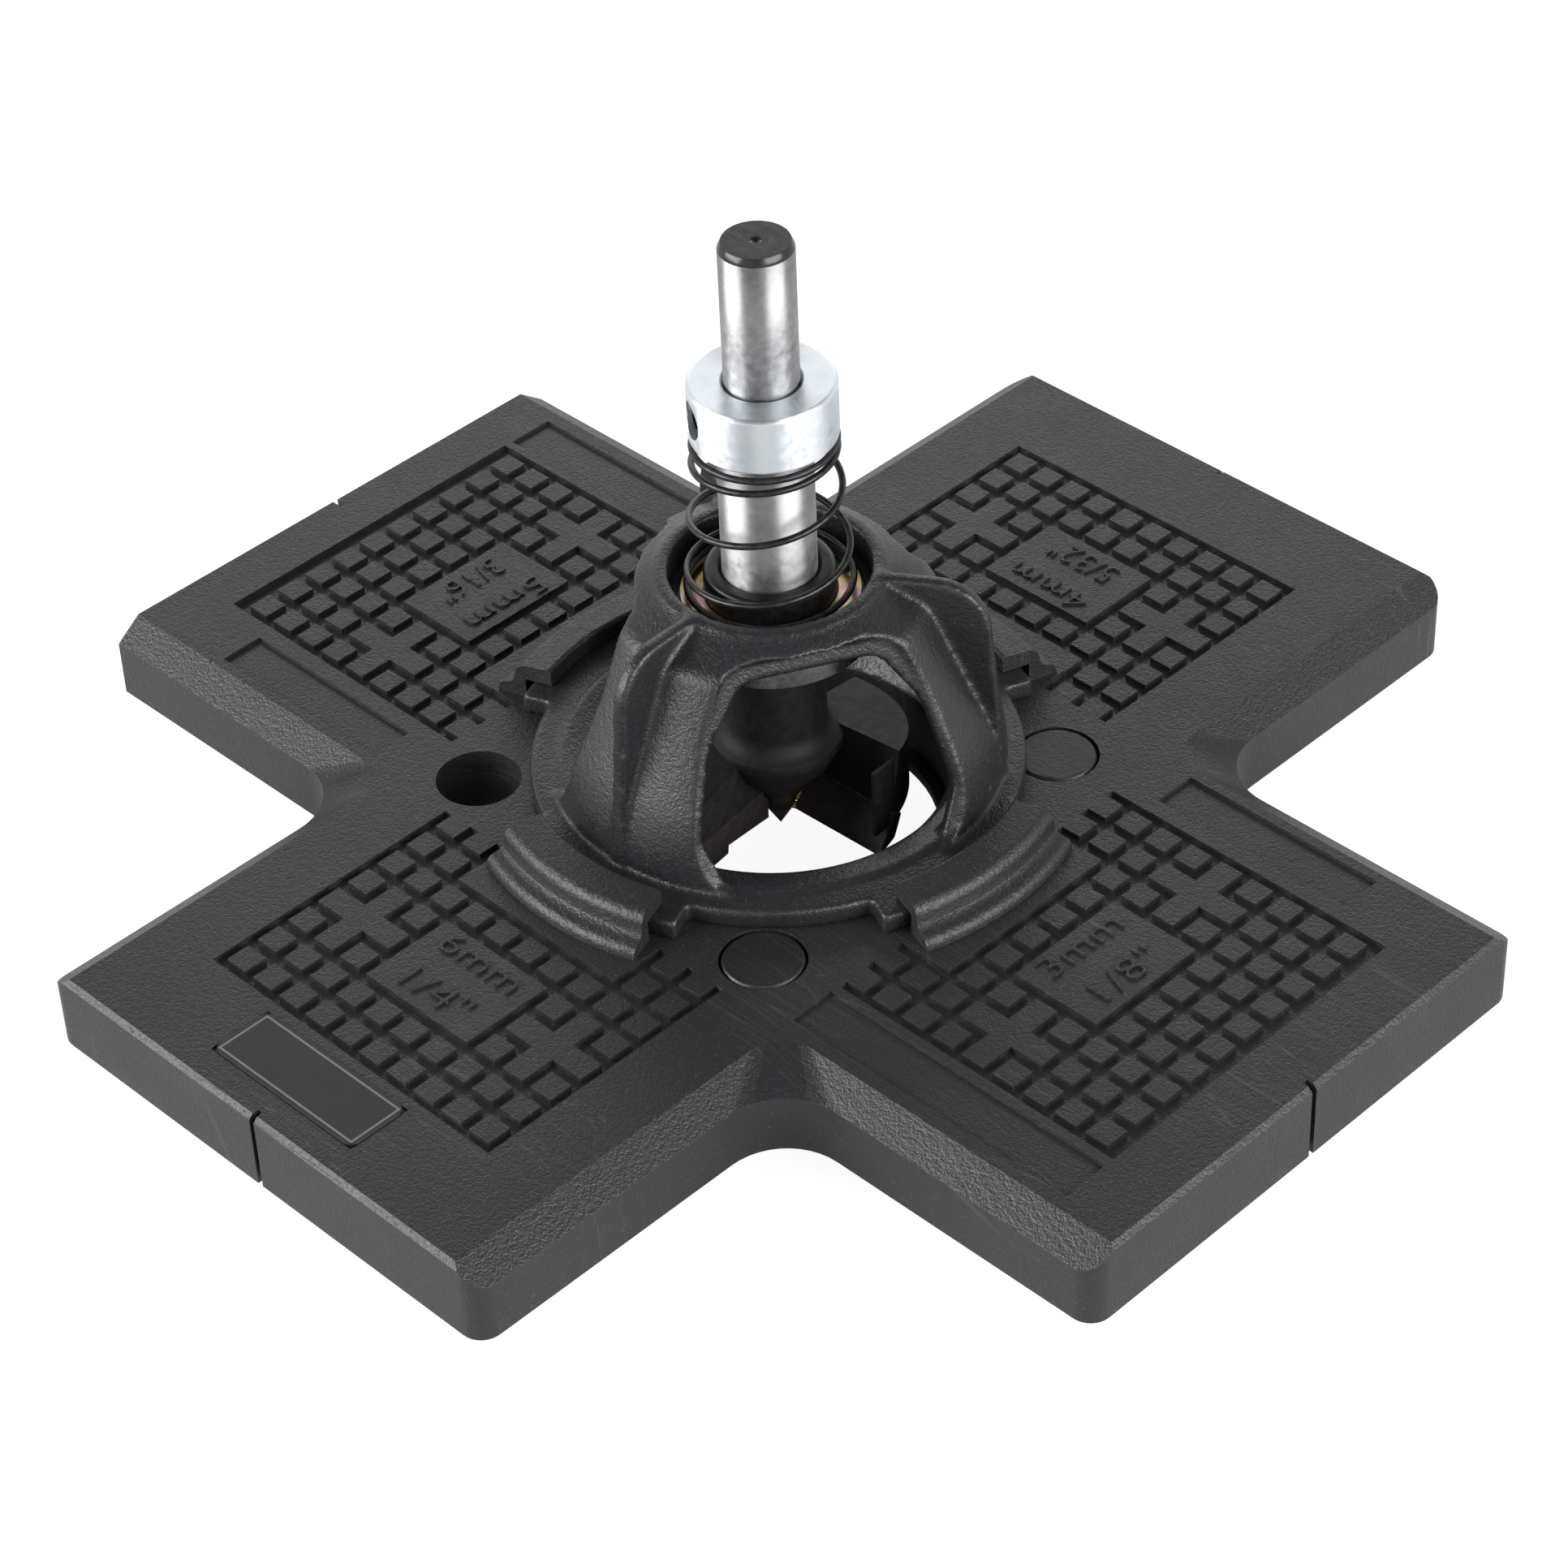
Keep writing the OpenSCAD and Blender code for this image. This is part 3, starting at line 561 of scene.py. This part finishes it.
bearing_steel = metal("bearing_steel", (0.42, 0.42, 0.43), (0.62, 0.62, 0.63), roughness=0.24)
shield_steel = metal("shield_steel", (0.3, 0.3, 0.31), (0.46, 0.46, 0.47), roughness=0.34,
                     mottle=0.6)
pressed_brass = metal("cage_brass", (0.5, 0.36, 0.17), (0.74, 0.56, 0.3), roughness=0.34,
                      mottle=0.6)
for part, look, edge in (("bearing_outer_ring", bearing_steel, 0.00012),
                         ("bearing_inner_ring", bearing_steel, 0.00012),
                         ("bearing_balls", bearing_steel, 0.0),
                         ("bearing_cage", pressed_brass, 0.0),
                         ("bearing_shield_upper", shield_steel, 0.00005),
                         ("bearing_shield_lower", shield_steel, 0.00005)):
    wear(part, look)
    round_off(part, edge)

# ---- Sleeve, circlips and washer ---------------------------------------------------------------
# A blackened steel bush turns with the bit in the bearing, dull on its face and oily on its side. A
# washer in yellow-passivated zinc, with its rainbow of colours, lies round it under the spring.
oiled_black = metal("oiled_black", (0.004, 0.004, 0.0045), (0.02, 0.019, 0.018), roughness=0.3,
                    metallic=0.35, mottle=0.8, bump=0.25)
spring_black = metal("circlip_black", (0.012, 0.012, 0.013), (0.045, 0.044, 0.043), roughness=0.36,
                     metallic=0.6, mottle=0.8)
for part, look in (("guide_sleeve", oiled_black), ("sleeve_circlip", spring_black),
                   ("bearing_circlip", spring_black)):
    wear(part, look)
    round_off(part, 0.00012)

rainbow_tints = ((0.3, (0.62, 0.25, 0.28, 1)), (0.72, (0.25, 0.42, 0.2, 1)),
                 (0.4, (0.85, 0.5, 0.18, 1)), (0.48, (0.9, 0.75, 0.32, 1)),
                 (0.55, (0.8, 0.62, 0.5, 1)), (0.62, (0.85, 0.4, 0.5, 1)))
rainbow, rainbow_tree, rainbow_shader = new_material("yellow_zinc")
rainbow_where = put(rainbow_tree, "ShaderNodeTexCoord").outputs["Object"]
rainbow_cloud = noise(rainbow_tree, rainbow_where, 130.0, 3.0, 0.55)
rainbow_ramp = put(rainbow_tree, "ShaderNodeValToRGB", {0: rainbow_cloud})
stops = rainbow_ramp.color_ramp.elements
for stop, (spot, tint) in zip(list(stops), rainbow_tints):
    stop.position, stop.color = spot, tint
for spot, tint in rainbow_tints[2:]:
    stops.new(spot).color = tint
feed(rainbow_tree, rainbow_shader, {
    "Metallic": 1.0,
    "Base Color": rainbow_ramp.outputs[0],
    "Roughness": spread(rainbow_tree, rainbow_cloud, 0.2, 0.8, 0.2, 0.36),
    "Normal": dented(rainbow_tree, noise(rainbow_tree, rainbow_where, 1500.0, 3.0), 0.15, 0.00003)})
wear("spring_washer", rainbow)
round_off("spring_washer", 0.0001)

# ---- Return spring -----------------------------------------------------------------------------
# Oil-tempered round wire, coiled to the right, with a closed turn at each end. It narrows from the
# washer to the collar, and spans the height between them that the model's spring has.
wire = 0.0009
wire_end = 0.2431
turns = 5.05
first_angle = math.radians(64)
closed_gap = 0.0004
wide, narrow = 0.0106, 0.00905
spring_low, spring_high = (c[2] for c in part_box("return_spring"))


def coil(count):
    """The wire's middle line, and the way outwards at each point of it. The angle grows evenly. A
    smooth step from the first turn to the fourth narrows the radius, and adds the open turns'
    height to that of closed turns, which lie a small gap apart."""
    turn = np.linspace(0, turns, count)
    ease = np.clip((turn - 1) / 3, 0, 1)
    ease = ease * ease * (3 - 2 * ease)
    radius = wide - (wide - narrow) * ease
    step = wire + closed_gap
    rise = spring_high - spring_low - wire
    height = spring_low + wire / 2 + step * turn + (rise - step * turns) * ease
    angle = first_angle + 2 * np.pi * turn
    outwards = np.column_stack([np.cos(angle), np.sin(angle), np.zeros(count)])
    return radius[:, None] * outwards + height[:, None] * [0, 0, 1], outwards


def tube(path, radius, side, sides):
    """A round bar along a path: at each point a circle of the bar's radius there, in the plane of
    the side direction and of its cross product with the path's direction. Its ends are closed."""
    along = np.gradient(path, axis=0)
    along /= np.linalg.norm(along, axis=1)[:, None]
    side = side - along * np.sum(side * along, axis=1)[:, None]
    side /= np.linalg.norm(side, axis=1)[:, None]
    other = np.cross(along, side)
    angle = 2 * np.pi * np.arange(sides) / sides
    around = (np.cos(angle)[None, :, None] * side[:, None]
              + np.sin(angle)[None, :, None] * other[:, None])
    rings = path[:, None] + radius[:, None, None] * around
    i, j = np.meshgrid(np.arange(len(path) - 1), np.arange(sides), indexing="ij")
    a, b = (i * sides + j).ravel(), (i * sides + (j + 1) % sides).ravel()
    faces = np.column_stack([a, b, b + sides, a + sides]).tolist()
    last = (len(path) - 1) * sides
    faces += [list(range(sides - 1, -1, -1)), list(range(last, last + sides))]
    return rings.reshape(-1, 3), faces


coil_line, coil_out = coil(count=560)
wire_r = np.full(len(coil_line), wire / 2)
wire_r[[0, -1]] *= wire_end
spring = mesh_piece("spring_wire", *tube(coil_line, wire_r, coil_out, sides=14))
tempered = metal("tempered_wire", (0.014, 0.0135, 0.013), (0.05, 0.048, 0.046), roughness=0.28,
                 metallic=0.7, mottle=0.9, bump=0.05)
spring.data.materials.append(tempered)
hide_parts("return_spring")
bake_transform(spring)

# ---- Stop collar -------------------------------------------------------------------------------
# A turned steel ring in bluish bright zinc slides on the shank, and a black grub screw in its
# tapped hole holds it at the depth wanted.
# Its lengthwise bands are painted reflections, placed round the collar by the phase.
bright_zinc = metal("bright_zinc", (0.77, 0.83, 0.88), (0.93, 0.97, 1.0), roughness=0.36,
                    bands=0.35, phase=0.35, mottle=0.45, bump=0.12, anisotropic=0.8)
wear("depth_collar", bright_zinc)
round_off("depth_collar", 0.0001, 40.0)
wear("grub_screw", oiled_black)
round_off("grub_screw", 0.00008)

# The thread's first turns, which show in the mouth of the hole.
hole_angle = math.radians(-118)
thread_r, thread_bead = 0.00238, 0.00012
thread_from, thread_pitch, thread_turns = 0.00885, 0.0005, 1.6


def helix(middle, out, count):
    """A screw line round a level axis, and the way outwards from it at each point: a circle in the
    plane of the up direction and the side, which moves inwards by a pitch with each turn."""
    side = np.array([-out[1], out[0], 0.0])
    angle = np.linspace(0, 2 * np.pi * thread_turns, count)
    away = np.cos(angle)[:, None] * side + np.sin(angle)[:, None] * np.array([0, 0, 1.0])
    inwards = thread_from - thread_pitch * angle / (2 * np.pi)
    return middle + inwards[:, None] * out + thread_r * away, away


collar_low, collar_high = (np.array(c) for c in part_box("depth_collar"))
hole_middle = np.array([0.0, 0.0, (collar_low[2] + collar_high[2]) / 2])
hole_out = np.array([math.cos(hole_angle), math.sin(hole_angle), 0.0])
thread_line, thread_out = helix(hole_middle, hole_out, count=90)
thread = mesh_piece("collar_thread", *tube(thread_line, np.full(len(thread_line), thread_bead),
                                           thread_out, sides=6))
thread.data.materials.append(bearing_steel)
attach(thread, "stop_collar")

# ---- Bit ---------------------------------------------------------------------------------------
# A ground steel shank with a blackened end, and a blackened head with two wings. Carbide cutting
# tips and scoring tips are brazed into seats in the wings, and a thin gold line of braze shows.
ground_steel = metal("ground_steel", (0.33, 0.33, 0.335), (0.52, 0.52, 0.53), roughness=0.47,
                     mottle=0.8, bump=0.1, anisotropic=0.9)
end_black = metal("blackened_end", (0.004, 0.004, 0.005), (0.02, 0.02, 0.022), roughness=0.2,
                  metallic=0.2, mottle=0.8, bump=0.4)
head_black = metal("blackened_head", (0.003, 0.003, 0.0036), (0.011, 0.011, 0.012), roughness=0.6,
                   metallic=0.0, mottle=0.9, bump=0.3)
head_black.node_tree.nodes["Principled BSDF"].inputs["Specular IOR Level"].default_value = 0.3
carbide = metal("ground_carbide", (0.02, 0.017, 0.016), (0.046, 0.039, 0.037), roughness=0.45,
                metallic=0.3, mottle=0.8)
point_steel = metal("point_steel", (0.03, 0.028, 0.026), (0.12, 0.11, 0.1), roughness=0.34,
                    metallic=0.8, mottle=0.8)
for part, look, edge in (("bit_shank", ground_steel, 0.0), ("shank_end", end_black, 0.00025),
                         ("cutter_head", head_black, 0.00018), ("cutting_tip_a", carbide, 0.00004),
                         ("cutting_tip_b", carbide, 0.00004), ("scoring_tip_a", carbide, 0.00004),
                         ("scoring_tip_b", carbide, 0.00004), ("centre_point", point_steel, 0.0)):
    wear(part, look)
    round_off(part, edge)

# The braze stands in the seams behind a cutting tip: up its inner edge, then out along its top.
braze = metal("braze", (0.16, 0.1, 0.035), (0.62, 0.45, 0.16), roughness=0.35, metallic=0.9,
              mottle=0.9, bump=0.4)
tip_low, tip_high = (np.array(c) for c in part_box("cutting_tip_a"))
tip_rise = tip_high[2] - tip_low[2]
tip_lean = math.tan(math.radians(36)) * tip_rise
tip_inner, tip_length = 0.0024, 0.0145
wing_turn = math.radians(1.7)
braze_bead, braze_inner, braze_outer = 0.00016, 1.9, 0.5
braze_sink, braze_behind, braze_above = 0.00004, 0.00005, 0.00002
braze_facing = (0.3, -0.8, 0.5)


def seam(turn, half):
    """The middle line of a seam of braze, and its radius at each point. Two straight runs of half
    points each, up the leaning edge and out along the top, are turned about the bit's axis. The
    radius is uneven by a product of two sines, and greater on the first run."""
    s = np.linspace(0, 1, half)
    inner = np.column_stack([np.full(half, tip_inner - braze_sink), tip_lean * s - braze_behind,
                             tip_low[2] + tip_rise * s])
    outer = np.column_stack([tip_inner + tip_length * s, np.full(half, tip_lean - braze_sink),
                             np.full(half, tip_high[2] + braze_above)])
    x, y, z = np.vstack([inner, outer]).T
    c, q = math.cos(wing_turn + turn), math.sin(wing_turn + turn)
    u = np.linspace(0, 2, 2 * half)
    radius = braze_bead * (1 + 0.45 * np.sin(41 * u) * np.sin(17 * u + turn))
    return (np.column_stack([c * x - q * y, q * x + c * y, z]),
            radius * np.repeat([braze_inner, braze_outer], half))


for side, turn in (("a", 0.0), ("b", math.pi)):
    braze_line, braze_r = seam(turn, half=70)
    facing = np.tile(braze_facing, (len(braze_r), 1))
    bead = mesh_piece("braze_line_" + side, *tube(braze_line, braze_r, facing, sides=8))
    bead.data.materials.append(braze)
    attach(bead, "bit")
